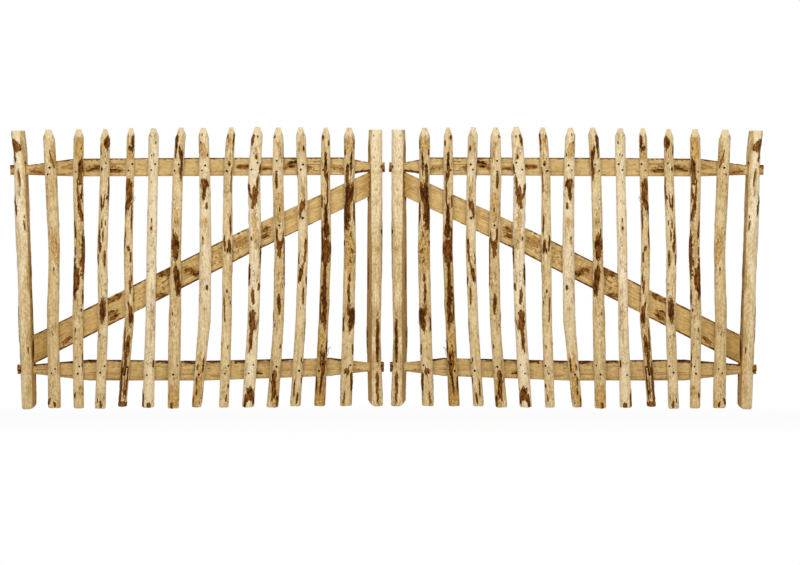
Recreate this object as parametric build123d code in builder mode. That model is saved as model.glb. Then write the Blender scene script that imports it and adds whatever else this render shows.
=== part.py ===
from build123d import *
import os
from math import radians, cos, sin

# A pair of rustic gate leaves: pointed cleft pales nailed over tenoned rails and a brace,
# each leaf hung by two screw eyes on two plate hooks. The front faces -Y and +X is right.
# The origin is on the post face of the left bottom hook, at the middle of its plate.
# Heights are counted from the ground line, and places along a leaf from its hanging edge.

# Leaf
leaf_width = 1500  # over both stiles at half height
leaf_height = 1150  # ground line to the common height of the pale tips
meeting_gap = 40  # between the meeting stiles of the two leaves
fit = 0.3  # clearance of each hand-cut joint and of the eyes on their pins
overrun = 5  # how far a cutting shape runs past what it cuts

# Stiles, peeled poles with a flat back and a hewn flat on the inner side
stile_width = 64
stile_depth = 62
stile_proud = 16  # how far a stile stands in front of the rails
stile_round_share = 0.62  # half depth of the pole, as a share of the stile's depth
stile_flat_share = 0.85  # distance of the hewn flat from the pole's middle
stile_flat_angle = 22  # turn of the hewn flat towards the front, in degrees
stile_top_cut = 58  # height of the sloping cut at the front of a stile's top
stile_crown = 41  # depth of the level top behind that cut
stile_brow_share = 0.65  # distance of the hewn slope at the inner side of the top from the middle
stile_brow_angle = 30  # its turn towards the front, in degrees
stile_brow_width = 22  # how far it runs out over its height
stile_brow_height = 150
stile_foot_cut_width = 21  # chamfer at the inner corner of a stile's foot
stile_foot_cut_height = 25
# A stile's girths from foot to top at these heights, and how far its middle line stands to the
# right there: the hanging stile leans out and its top kicks out, the meeting stile bends twice.
stile_heights_shares = (0.0, 0.25, 0.5, 0.75, 0.92, 1.0)
stile_girth_shares = {
    "hanging": (0.99, 0.96, 0.90, 0.93, 0.90, 0.88),
    "meeting": (0.96, 0.96, 1.00, 0.97, 0.92, 0.85),
}
stile_line_shares = {
    "hanging": (0.28, 0.09, -0.06, -0.21, -0.31, -0.47),
    "meeting": (0.08, -0.07, -0.02, 0.05, 0.06, 0.08),
}
hanging_ends_shares = (-0.001, 0.995)  # foot and top, as shares of the leaf's height
meeting_ends_shares = (0.009, 0.998)

# Rails, hewn flat in front and bevelled all round, tapering to through tenons
rail_depth = 36
rail_height = 70
rail_bevel = 14
rail_skim = 9  # wood hewn off the front after bevelling
tenon_height = 40
tenon_depth = 28
tenon_bevel = 7
tenon_proud = 11  # how far a tenon stands out of its stile
shoulder_gap = 4  # straight tenon left showing beside the stile
top_rail_drop = 157  # leaf height to the rail's middle
bottom_rail_rise = 162  # ground line to the rail's middle
# Each station of a rail: place along the leaf, rise of its middle and height as shares
# of the leaf's width and the rail's height. A tenon row: its rise and its stand-out.
top_rail_shares = ((0.156, -0.02, 1.03), (0.480, 0.02, 1.05), (0.896, 0.06, 1.02))
top_tenon_shares = ((-0.16, 1.0), (0.02, 0.7))
bottom_rail_shares = ((0.197, -0.04, 1.22), (0.516, -0.08, 1.15), (0.857, 0.15, 1.05))
bottom_tenon_shares = ((0.01, 0.9), (0.15, 0.7))

# Brace, between the stiles in the plane of the rails, its foot at the hanging stile
brace_depth = 32
brace_bevel = 9
brace_foot_height = 118  # upright cut at each end
brace_head_height = 101
brace_seat = 5  # between the brace's corner and the tenon beside it
brace_bow = 12  # rise of the brace's long edges at their bend
brace_bend_share = 0.64  # place of that bend along the brace

# Pales, cleft poles with a flat back, pointed by one front and two side cuts
pale_width = 48
pale_depth = 29
pale_round_share = 0.70  # half depth of the pole, as a share of the pale's depth
pale_tip_width = 20
pale_tip_depth = 17
pale_point = 37  # height of the point
pale_heights_shares = (0.0, 0.31, 0.56, 0.81, 1.0)
# One row for each pale: its places along the leaf and its girths at those heights, from
# foot to tip, then the heights of foot and tip, as shares of the sizes that they follow.
pale_shares = (
    ((0.104, 0.099, 0.103, 0.095, 0.087), (1.11, 1.01, 0.98, 1.06, 1.02), (0.003, 0.997)),
    ((0.170, 0.167, 0.172, 0.168, 0.170), (0.89, 0.94, 0.91, 0.88, 0.90), (0.002, 0.999)),
    ((0.228, 0.237, 0.234, 0.241, 0.242), (0.93, 0.82, 0.88, 0.86, 0.80), (0.001, 1.000)),
    ((0.289, 0.308, 0.305, 0.310, 0.313), (0.73, 0.80, 0.75, 0.69, 0.73), (0.009, 1.003)),
    ((0.360, 0.366, 0.369, 0.373, 0.375), (1.02, 0.85, 0.87, 0.84, 0.93), (0.006, 1.002)),
    ((0.429, 0.433, 0.436, 0.440, 0.450), (1.00, 1.08, 0.88, 0.89, 0.91), (0.002, 1.005)),
    ((0.492, 0.514, 0.517, 0.515, 0.511), (0.83, 1.06, 1.02, 0.95, 0.87), (0.006, 1.004)),
    ((0.567, 0.575, 0.577, 0.578, 0.587), (0.85, 0.85, 0.87, 0.79, 0.78), (0.005, 1.006)),
    ((0.633, 0.648, 0.653, 0.650, 0.659), (1.05, 1.01, 1.03, 1.06, 0.97), (0.006, 1.008)),
    ((0.700, 0.717, 0.720, 0.715, 0.716), (1.01, 0.91, 0.92, 0.95, 0.88), (0.006, 1.005)),
    ((0.763, 0.777, 0.784, 0.782, 0.777), (0.89, 0.86, 0.86, 0.82, 0.84), (0.010, 1.006)),
    ((0.829, 0.840, 0.847, 0.845, 0.846), (0.96, 0.83, 0.88, 0.82, 0.75), (0.010, 1.005)),
    ((0.901, 0.908, 0.912, 0.911, 0.910), (1.02, 1.06, 1.04, 0.90, 0.95), (0.011, 1.004)),
)

# Hinges, screw eyes in the hanging stile on the upright pins of plate hooks
hinge_inset = 25  # hanging edge to the pin's axis
top_hinge_drop = 133  # top rail's middle to the eye's middle
bottom_hinge_rise = 128  # bottom rail's middle to the eye's middle
pin_width = 12
pin_reach = 65  # post face to the pin's axis
pin_head = 8  # pin left standing above the eye
pin_chamfer = 2
arm_width = 24
arm_height = 14
eye_width = 26
eye_height = 18
eye_chamfer = 2
eye_reach = 22  # pin's axis to the stile's back
shank_width = 10
shank_depth = 45  # length in the stile
washer_width = 20
washer_height = 3
plate_width = 24
plate_height = 100
plate_depth = 5
plate_round = 8
screw_spacing = 70
screw_width = 6.5
screw_head_width = 12.5
screw_angle = 90

# Places worked out from the sizes
leaf_edge = -hinge_inset
middle_line = leaf_edge + leaf_width + meeting_gap / 2
stile_back = -pin_reach - eye_reach
stile_front = stile_back - stile_depth
stile_core = stile_front + stile_depth * stile_round_share
pale_plane = stile_front + stile_proud
tenon_core = pale_plane + rail_depth / 2
top_rail_level = leaf_height - top_rail_drop
hinge_levels = {"top": top_rail_level - top_hinge_drop, "bottom": bottom_rail_rise + bottom_hinge_rise}
arm_drop = eye_height / 2 + fit + arm_height / 2
ground = arm_drop - hinge_levels["bottom"]
inward = {"hanging": 1, "meeting": -1}

os.makedirs("parts", exist_ok=True)


def save(piece, name):
    piece.part.label = name
    export_step(piece.part, f"parts/{name}.step")


def save_pair(piece, name):
    save(piece, f"left_{name}")
    with BuildPart() as twin:
        mirror(piece.part, about=Plane.YZ.offset(middle_line))
    save(twin, f"right_{name}")


def place(share):
    return leaf_edge + share * leaf_width


# A stile's middle line runs straight from one of its heights to the next.
def stile_middle(side, share):
    line = list(zip(stile_heights_shares, stile_line_shares[side]))
    for (low, at_low), (high, at_high) in zip(line, line[1:]):
        if share <= high:
            break
    bend = at_low + (at_high - at_low) * (share - low) / (high - low)
    outer_edge = leaf_edge if side == "hanging" else leaf_edge + leaf_width
    return outer_edge + (inward[side] / 2 + bend) * stile_width


def stile_middle_at(side, level):
    return stile_middle(side, level / leaf_height)


def stile_inner_edge(side, level):
    return stile_middle_at(side, level) + inward[side] * stile_width / 2


def inwards(side, angle):
    return Vector(inward[side] * cos(radians(angle)), -sin(radians(angle)), 0)


# The hewn flat follows the stile's lean. Its normal points inwards and to the front.
def inner_flat(side, clearance):
    bend_share = stile_heights_shares[-2]
    foot = Vector(stile_middle(side, 0.0), stile_core, ground)
    bend = Vector(stile_middle(side, bend_share), stile_core, ground + bend_share * leaf_height)
    grain = (bend - foot).normalized()
    aim = inwards(side, stile_flat_angle)
    normal = (aim - grain * aim.dot(grain)).normalized()
    return Plane(foot + normal * (stile_width / 2 * stile_flat_share + clearance), grain, normal)


def stile(side, ends_shares, tenons):
    girth_shares = stile_girth_shares[side]
    foot_level = ground + ends_shares[0] * leaf_height
    top_level = ground + ends_shares[1] * leaf_height
    with BuildPart() as pole:
        for share, girth in zip(stile_heights_shares, girth_shares):
            with BuildSketch(Plane.XY.offset(foot_level + share * (top_level - foot_level))):
                with Locations((stile_middle(side, share), stile_core)):
                    Ellipse(stile_width * girth / 2, stile_depth * stile_round_share * girth)
        loft(ruled=True)
        split(bisect_by=Plane.XZ.offset(-stile_back), keep=Keep.TOP)
        split(bisect_by=inner_flat(side, 0), keep=Keep.BOTTOM)
        # sloping cut at the front of the top
        crown = Vector(0, stile_back - stile_crown, top_level)
        uphill = Vector(0, stile_depth - stile_crown, stile_top_cut)
        split(bisect_by=Plane(crown, (1, 0, 0), Vector(1, 0, 0).cross(uphill)), keep=Keep.BOTTOM)
        # slope at the inner side of the top
        aim = inwards(side, stile_brow_angle)
        brow = Vector(stile_middle(side, 1.0), stile_core, top_level) + aim * stile_width / 2 * stile_brow_share
        outward = aim * stile_brow_height + Vector(0, 0, stile_brow_width)
        split(bisect_by=Plane(brow, aim.cross(Vector(0, 0, 1)), outward), keep=Keep.BOTTOM)
        # chamfer at the inner corner of the foot
        corner = stile_middle(side, 0.0) + inward[side] * stile_width * girth_shares[0] / 2
        heel = Vector(corner - inward[side] * stile_foot_cut_width, 0, foot_level)
        outward = Vector(inward[side] * stile_foot_cut_height, 0, -stile_foot_cut_width)
        split(bisect_by=Plane(heel, (0, 1, 0), outward), keep=Keep.BOTTOM)
        # through mortises for the rails
        for level in tenons:
            with BuildSketch(Plane.YZ.offset(stile_middle_at(side, level))) as mortise:
                with Locations((tenon_core, ground + level)):
                    Rectangle(tenon_depth + 2 * fit, tenon_height + 2 * fit)
                chamfer(mortise.vertices(), tenon_bevel)
            extrude(amount=stile_width, both=True, mode=Mode.SUBTRACT)
        # blind holes for the eyes
        if side == "hanging":
            for level in hinge_levels.values():
                with BuildSketch(Plane.XZ.offset(-stile_back)):
                    with Locations((0, ground + level)):
                        Circle(shank_width / 2 + fit)
                extrude(amount=shank_depth + fit, mode=Mode.SUBTRACT)
    return pole


# A tenon's level: the rail's middle, raised by its share of the rail's height.
def tenon_levels(rail_level, tenon_shares):
    return [rail_level + rise * rail_height for rise, stand_out in tenon_shares]


def rail(rail_level, stations_shares, tenon_shares):
    levels = tenon_levels(rail_level, tenon_shares)
    outer = [
        stile_middle_at(side, level) - inward[side] * (stile_width / 2 + tenon_proud * stand_out)
        for side, level, (rise, stand_out) in zip(inward, levels, tenon_shares)
    ]
    shoulder = [
        stile_inner_edge(side, level) + inward[side] * shoulder_gap
        for side, level in zip(inward, levels)
    ]
    tenon = (tenon_depth, tenon_height, tenon_bevel, tenon_core)
    body_depth = rail_depth + rail_skim
    body_core = pale_plane + rail_depth - body_depth / 2
    sections = [(outer[0], levels[0], *tenon), (shoulder[0], levels[0], *tenon)]
    for along, rise, tall in stations_shares:
        level = rail_level + rise * rail_height
        sections.append((place(along), level, body_depth, tall * rail_height, rail_bevel, body_core))
    sections += [(shoulder[1], levels[1], *tenon), (outer[1], levels[1], *tenon)]
    with BuildPart() as bar:
        for across, level, depth, height, bevel, core in sections:
            with BuildSketch(Plane.YZ.offset(across)) as section:
                with Locations((core, ground + level)):
                    Rectangle(depth, height)
                chamfer(section.vertices(), bevel)
        loft(ruled=True)
        split(bisect_by=Plane.XZ.offset(-pale_plane), keep=Keep.BOTTOM)
    return bar


# The brace's corners are set at the stiles' inner edges. Its long edges bow up a little. It is
# drawn on into the stiles and cut back to their hewn flats.
def brace(foot_level, head_level):
    start = stile_inner_edge("hanging", foot_level)
    end = stile_inner_edge("meeting", head_level)
    reach = stile_width / 2
    edges = ((foot_level, head_level - brace_head_height), (foot_level + brace_foot_height, head_level))
    bends = []
    for at_start, at_end in edges:
        rise = (at_end - at_start) / (end - start) * reach
        first = Vector(start - reach, ground + at_start - rise)
        last = Vector(end + reach, ground + at_end + rise)
        bends.append((first, first + (last - first) * brace_bend_share + Vector(0, brace_bow), last))
    with BuildPart() as strut:
        with BuildSketch(Plane.XZ.offset(-pale_plane)):
            with BuildLine():
                lower = Polyline(*bends[0])
                upper = Polyline(*bends[1])
                Line(lower @ 0, upper @ 0)
                Line(lower @ 1, upper @ 1)
            make_face()
        extrude(amount=-brace_depth)
        back = strut.faces().sort_by(Axis.Y)[-1]
        chamfer(back.edges().sort_by(SortBy.LENGTH)[-4:], brace_bevel)
        for side in inward:
            split(bisect_by=inner_flat(side, fit), keep=Keep.TOP)
    return strut


def pale(places_shares, girth_shares, ends_shares):
    foot_level = ground + ends_shares[0] * leaf_height
    tip_level = ground + ends_shares[1] * leaf_height
    tip = place(places_shares[-1])
    tip_girth = girth_shares[-1]
    with BuildPart() as pole:
        for share, along, girth in zip(pale_heights_shares, places_shares, girth_shares):
            half_depth = pale_depth * pale_round_share * girth
            with BuildSketch(Plane.XY.offset(foot_level + share * (tip_level - foot_level))):
                with Locations((place(along), pale_plane - pale_depth * girth + half_depth)):
                    Ellipse(pale_width * girth / 2, half_depth)
        loft(ruled=True)
        split(bisect_by=Plane.XZ.offset(-pale_plane), keep=Keep.TOP)
        # side cuts of the point
        shoulder = (pale_width - pale_tip_width) * tip_girth / 2
        for way in (-1, 1):
            edge = Vector(tip + way * pale_tip_width * tip_girth / 2, 0, tip_level)
            split(bisect_by=Plane(edge, (0, 1, 0), (way * pale_point, 0, shoulder)), keep=Keep.BOTTOM)
        # front cut of the point
        edge = Vector(tip, pale_plane - pale_tip_depth * tip_girth, tip_level)
        brow = (pale_depth - pale_tip_depth) * tip_girth
        split(bisect_by=Plane(edge, (1, 0, 0), (0, -pale_point, brow)), keep=Keep.BOTTOM)
    return pole


def eye(level):
    middle = ground + level
    with BuildPart() as ring:
        with BuildSketch(Plane.XY.offset(middle - eye_height / 2)):
            with Locations((0, -pin_reach)):
                Circle(eye_width / 2)
        extrude(amount=eye_height)
        chamfer(ring.edges().filter_by(GeomType.CIRCLE), eye_chamfer)
        with BuildSketch(Plane.XZ.offset(pin_reach)):
            with Locations((0, middle)):
                Circle(shank_width / 2)
        extrude(amount=eye_reach + shank_depth)
        with BuildSketch(Plane.XZ.offset(-stile_back - washer_height)):
            with Locations((0, middle)):
                Circle(washer_width / 2)
        extrude(amount=washer_height)
        with BuildSketch(Plane.XY.offset(middle - eye_height / 2 - overrun)):
            with Locations((0, -pin_reach)):
                Circle(pin_width / 2 + fit)
        extrude(amount=eye_height + 2 * overrun, mode=Mode.SUBTRACT)
    return ring


def hook(level):
    seat = ground + level - eye_height / 2 - fit
    arm = seat - arm_height / 2
    pin_height = arm_height + fit + eye_height + pin_head
    with BuildPart() as iron:
        with BuildSketch(Plane.XZ):
            with Locations((0, arm)):
                RectangleRounded(plate_width, plate_height, plate_round)
        extrude(amount=plate_depth)
        # arm with a round nose about the pin
        with BuildSketch(Plane.XY.offset(seat - arm_height)):
            with Locations((0, -pin_reach / 2)):
                Rectangle(arm_width, pin_reach)
            with Locations((0, -pin_reach)):
                Circle(arm_width / 2)
        extrude(amount=arm_height)
        with BuildSketch(Plane.XY.offset(seat - arm_height)):
            with Locations((0, -pin_reach)):
                Circle(pin_width / 2)
        extrude(amount=pin_height)
        chamfer(iron.edges().filter_by(GeomType.CIRCLE).sort_by(Axis.Z)[-1], pin_chamfer)
        with Locations(Plane.XZ.offset(plate_depth)):
            with Locations((0, arm - screw_spacing / 2), (0, arm + screw_spacing / 2)):
                CounterSinkHole(screw_width / 2, screw_head_width / 2, plate_depth, screw_angle)
    return iron


top_tenons = tenon_levels(top_rail_level, top_tenon_shares)
bottom_tenons = tenon_levels(bottom_rail_rise, bottom_tenon_shares)

hanging_tenons = (top_tenons[0], bottom_tenons[0])
meeting_tenons = (top_tenons[1], bottom_tenons[1])
save_pair(stile("hanging", hanging_ends_shares, hanging_tenons), "hanging_stile")
save_pair(stile("meeting", meeting_ends_shares, meeting_tenons), "meeting_stile")
save_pair(rail(top_rail_level, top_rail_shares, top_tenon_shares), "top_rail")
save_pair(rail(bottom_rail_rise, bottom_rail_shares, bottom_tenon_shares), "bottom_rail")

brace_foot = bottom_tenons[0] + tenon_height / 2 + brace_seat
brace_head = top_tenons[1] - tenon_height / 2 - brace_seat
save_pair(brace(brace_foot, brace_head), "brace")

for number, row in enumerate(pale_shares, start=1):
    save_pair(pale(*row), f"pale_{number:02d}")

for end, level in hinge_levels.items():
    save_pair(eye(level), f"{end}_eye")
    save_pair(hook(level), f"{end}_hook")
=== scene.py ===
import math
import bmesh
import bpy
import numpy as np
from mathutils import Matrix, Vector
from mathutils.bvhtree import BVHTree


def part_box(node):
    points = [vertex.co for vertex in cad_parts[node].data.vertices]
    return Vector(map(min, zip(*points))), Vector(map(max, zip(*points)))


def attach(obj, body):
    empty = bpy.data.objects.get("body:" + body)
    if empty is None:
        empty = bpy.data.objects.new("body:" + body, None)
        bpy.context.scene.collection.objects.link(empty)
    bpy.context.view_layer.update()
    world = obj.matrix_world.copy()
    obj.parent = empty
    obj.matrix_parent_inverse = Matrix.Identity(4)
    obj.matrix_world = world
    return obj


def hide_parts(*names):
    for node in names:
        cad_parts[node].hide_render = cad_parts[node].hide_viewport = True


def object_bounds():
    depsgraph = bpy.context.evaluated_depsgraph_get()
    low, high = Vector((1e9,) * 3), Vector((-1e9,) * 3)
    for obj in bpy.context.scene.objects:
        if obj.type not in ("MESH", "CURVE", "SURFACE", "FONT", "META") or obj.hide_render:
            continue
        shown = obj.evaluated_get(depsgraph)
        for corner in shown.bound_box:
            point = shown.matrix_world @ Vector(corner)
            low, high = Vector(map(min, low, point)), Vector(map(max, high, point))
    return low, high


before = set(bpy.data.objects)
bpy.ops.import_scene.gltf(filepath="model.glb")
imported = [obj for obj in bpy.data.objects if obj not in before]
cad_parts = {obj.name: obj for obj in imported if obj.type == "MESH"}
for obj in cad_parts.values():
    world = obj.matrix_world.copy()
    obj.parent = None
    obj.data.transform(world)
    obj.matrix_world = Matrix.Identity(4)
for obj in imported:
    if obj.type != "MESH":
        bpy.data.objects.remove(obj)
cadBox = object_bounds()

acrossWay, depthWay, upWay = Vector((1, 0, 0)), Vector((0, 1, 0)), Vector((0, 0, 1))

# How the photo's columns and rows lie on the gate
photo = {
    "width": 800,
    "height": 565,
    "step": 0.0041,          # metres for one pixel at the pales
    "middleColumn": 386.9,   # between the leaves
    "groundRow": 409.2,      # foot of the longest pales
    "ground": -0.2737,       # height of that row
    "cameraDistance": 15.0,
    "sensor": 36.0,
    "clipEnd": 100.0,
}
gateMiddle = (cadBox[0].x + cadBox[1].x) / 2


def columnOf(x):
    return photo["middleColumn"] + (x - gateMiddle) / photo["step"]


def rowOf(z):
    return photo["groundRow"] - (z - photo["ground"]) / photo["step"]


def xOf(column):
    return gateMiddle + (column - photo["middleColumn"]) * photo["step"]


def zOf(row):
    return photo["ground"] + (photo["groundRow"] - row) * photo["step"]


# Node helpers, for shaders and geometry trees alike
def put(tree, kind, links=None, **settings):
    node = tree.nodes.new(kind)
    for name, value in settings.items():
        setattr(node, name, value)
    for key, value in (links or {}).items():
        if isinstance(value, bpy.types.NodeSocket):
            tree.links.new(value, node.inputs[key])
        else:
            node.inputs[key].default_value = value
    return node


def calc(tree, operation, *values):
    return put(tree, "ShaderNodeMath", dict(enumerate(values)), operation=operation).outputs[0]


def times(tree, first, second):
    return calc(tree, "MULTIPLY", first, second)


def most(tree, first, second):
    return calc(tree, "MAXIMUM", first, second)


def vary(tree, base, texture, depth):   # base, up or down by half the depth as the texture runs
    return calc(tree, "MULTIPLY_ADD", calc(tree, "SUBTRACT", texture, 0.5), depth, base)


def stretch(tree, vector, factors):
    return put(tree, "ShaderNodeVectorMath", {0: vector, 1: factors}, operation="MULTIPLY").outputs[0]


def noise(tree, space, drawn, scale, detail=2.0, rough=0.5, twist=0.0):   # a low drawn is long grain
    links = {"Vector": stretch(tree, space, (1, 1, drawn)), "Scale": scale, "Detail": detail,
             "Roughness": rough, "Distortion": twist}
    return put(tree, "ShaderNodeTexNoise", links).outputs[0]


def step(tree, value, low, high, lowest=0.0, highest=1.0):
    links = {"Value": value, "From Min": low, "From Max": high, "To Min": lowest, "To Max": highest}
    return put(tree, "ShaderNodeMapRange", links, interpolation_type="SMOOTHSTEP").outputs[0]


def nearLine(tree, value, level, core, edge, strength=1.0):   # a thin line where a value crosses a level
    away = calc(tree, "ABSOLUTE", calc(tree, "SUBTRACT", value, level))
    return step(tree, away, core, edge, strength, 0.0)


def blendColour(tree, factor, first, second):
    return put(tree, "ShaderNodeMix", {0: factor, 6: first, 7: second}, data_type="RGBA",
               blend_type="MIX", clamp_factor=True).outputs[2]


def paint(colour):                      # screen colour, 0 to 255, as the shader's linear one
    shares = [value / 255 for value in colour]
    return tuple(s / 12.92 if s <= 0.04045 else ((s + 0.055) / 1.055) ** 2.4 for s in shares) + (1.0,)


def ramp(tree, value, places, colours):
    node = put(tree, "ShaderNodeValToRGB", {0: value})
    elements = node.color_ramp.elements
    while len(elements) < len(places):
        elements.new(0.5)
    for element, place, colour in zip(elements, places, colours):
        element.position = place
        element.color = paint(colour)
    return node.outputs[0]


def newMaterial(name):
    material = bpy.data.materials.new(name)
    material.use_nodes = True
    material.node_tree.nodes.clear()
    return material, material.node_tree


def endShader(tree, shader, kind="ShaderNodeOutputMaterial"):
    tree.links.new(shader, tree.nodes.new(kind).inputs[0])


def newTree(name, sockets):             # sockets are (name, kind, default)
    tree = bpy.data.node_groups.new(name, "GeometryNodeTree")
    tree.interface.new_socket("Geometry", in_out="INPUT", socket_type="NodeSocketGeometry")
    for label, kind, value in sockets:
        socket = tree.interface.new_socket(label, in_out="INPUT", socket_type="NodeSocket" + kind)
        if value is not None:
            socket.default_value = value
    tree.interface.new_socket("Geometry", in_out="OUTPUT", socket_type="NodeSocketGeometry")
    return tree, tree.nodes.new("NodeGroupInput").outputs


def pointField(tree, label, kind="FLOAT"):
    named = put(tree, "GeometryNodeInputNamedAttribute", {"Name": label}, data_type=kind)
    return named.outputs["Attribute"]


def endTree(tree, geometry, material):
    whole = put(tree, "GeometryNodeRealizeInstances", {0: geometry}).outputs[0]
    painted = put(tree, "GeometryNodeSetMaterial", {"Geometry": whole, "Material": material}).outputs[0]
    tree.links.new(painted, tree.nodes.new("NodeGroupOutput").inputs[0])


def grow(piece, tree, settings):        # runs a geometry tree on a piece and keeps its mesh
    modifier = piece.modifiers.new(tree.name, "NODES")
    modifier.node_group = tree
    for item in tree.interface.items_tree:
        if item.item_type == "SOCKET" and item.in_out == "INPUT" and item.name in settings:
            modifier[item.identifier] = settings[item.name]
    graph = bpy.context.evaluated_depsgraph_get()
    made = bpy.data.meshes.new_from_object(piece.evaluated_get(graph), preserve_all_data_layers=True,
                                           depsgraph=graph)
    piece.modifiers.remove(modifier)
    old = piece.data
    piece.data = made
    bpy.data.meshes.remove(old)
    made.name = piece.name


def addObject(name, data):
    made = bpy.data.objects.new(name, data)
    bpy.context.scene.collection.objects.link(made)
    return made


# Wood finishes. Colours are as seen on screen under plain light, pitches are for one metre.
woodBase = {
    "fleckPitch": 150.0, "raggedPitch": 150.0, "grainPitch": 85.0, "scribblePitch": 50.0, "patchPitch": 23.0,
    "scalePitch": 120.0, "gritDepth": 1.2, "stainShare": 0.8, "scribbleShare": 0.8, "ringWidth": 0.0032,
    "toneStops": (0.0, 0.5, 1.0), "barkStops": (0.22, 0.5, 0.8),
    "bareRough": 0.68, "barkRough": 0.9, "gloss": 0.1, "bumpStrength": 0.55, "bumpDepth": 0.0016,
}
woodTextures = {                        # drawn out along the pole, then detail, roughness and twist
    "mottle": (0.3, 4.0, 0.6), "grit": (0.55, 3.0, 0.6), "streak": (0.03, 3.0, 0.6),
    "fleck": (0.35, 2.0, 0.6), "ragged": (0.45, 3.0, 0.6), "grain": (0.018, 2.0, 0.5),
    "scribble": (0.5, 1.5, 0.5, 1.2), "patch": (0.4, 1.0), "scale": (0.35, 4.0, 0.7),
}
woodLooks = {
    "pale": {
        "tones": ((231, 213, 177), (205, 178, 126), (162, 122, 58)),
        "bark": ((136, 86, 33), (106, 62, 16), (58, 27, 2)),
        "amber": (202, 165, 95), "amberDark": (168, 124, 54), "line": (104, 62, 14), "knot": (50, 28, 6),
        "fleck": (112, 74, 26), "cut": (229, 209, 169), "rings": (190, 156, 104),
        "mottlePitch": 42.0, "mottleDepth": 0.8, "streakPitch": 230.0, "streakDepth": 0.7, "fleckShare": 0.8,
        "gritPitch": 140.0, "ragged": 2.2, "scribblePitch": 58.0, "scribbleWild": 0.65, "grainShare": 0.45,
    },
    "stile": {
        "tones": ((236, 220, 184), (206, 178, 127), (164, 127, 70)),
        "bark": ((142, 92, 38), (110, 66, 19), (58, 28, 3)),
        "amber": (203, 167, 98), "amberDark": (168, 126, 58), "line": (108, 68, 20), "knot": (50, 29, 8),
        "fleck": (118, 82, 34), "cut": (230, 210, 166), "rings": (190, 156, 104),
        "mottlePitch": 34.0, "mottleDepth": 1.1, "streakPitch": 210.0, "streakDepth": 0.9, "fleckShare": 0.55,
        "gritPitch": 130.0, "gritDepth": 1.5, "ragged": 2.2, "stainShare": 0.75,
        "scribbleShare": 0.6, "scribbleWild": 0.4, "grainShare": 0.45,
    },
    "rail": {
        "tones": ((214, 188, 133), (194, 162, 103), (160, 123, 67)),
        "bark": ((156, 106, 46), (110, 64, 16), (54, 26, 2)),
        "amber": (182, 138, 72), "amberDark": (146, 98, 42), "line": (96, 54, 10), "knot": (66, 38, 12),
        "fleck": (126, 88, 42), "cut": (214, 186, 134), "rings": (172, 134, 82),
        "mottlePitch": 30.0, "mottleDepth": 0.7, "streakPitch": 260.0, "streakDepth": 0.9, "fleckShare": 0.6,
        "gritPitch": 105.0, "ragged": 3.2, "scribbleWild": 0.15, "grainShare": 0.7,
    },
    "brace": {
        "tones": ((218, 188, 130), (192, 157, 95), (160, 123, 64)),
        "bark": ((158, 108, 48), (112, 68, 19), (56, 27, 3)),
        "amber": (176, 134, 70), "amberDark": (142, 98, 44), "line": (98, 57, 12), "knot": (66, 38, 12),
        "fleck": (122, 86, 42), "cut": (210, 182, 130), "rings": (170, 132, 82),
        "mottlePitch": 26.0, "mottleDepth": 0.7, "streakPitch": 280.0, "streakDepth": 1.0, "fleckShare": 0.6,
        "gritPitch": 105.0, "ragged": 3.2, "scribbleWild": 0.15, "grainShare": 0.75,
    },
}


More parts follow.
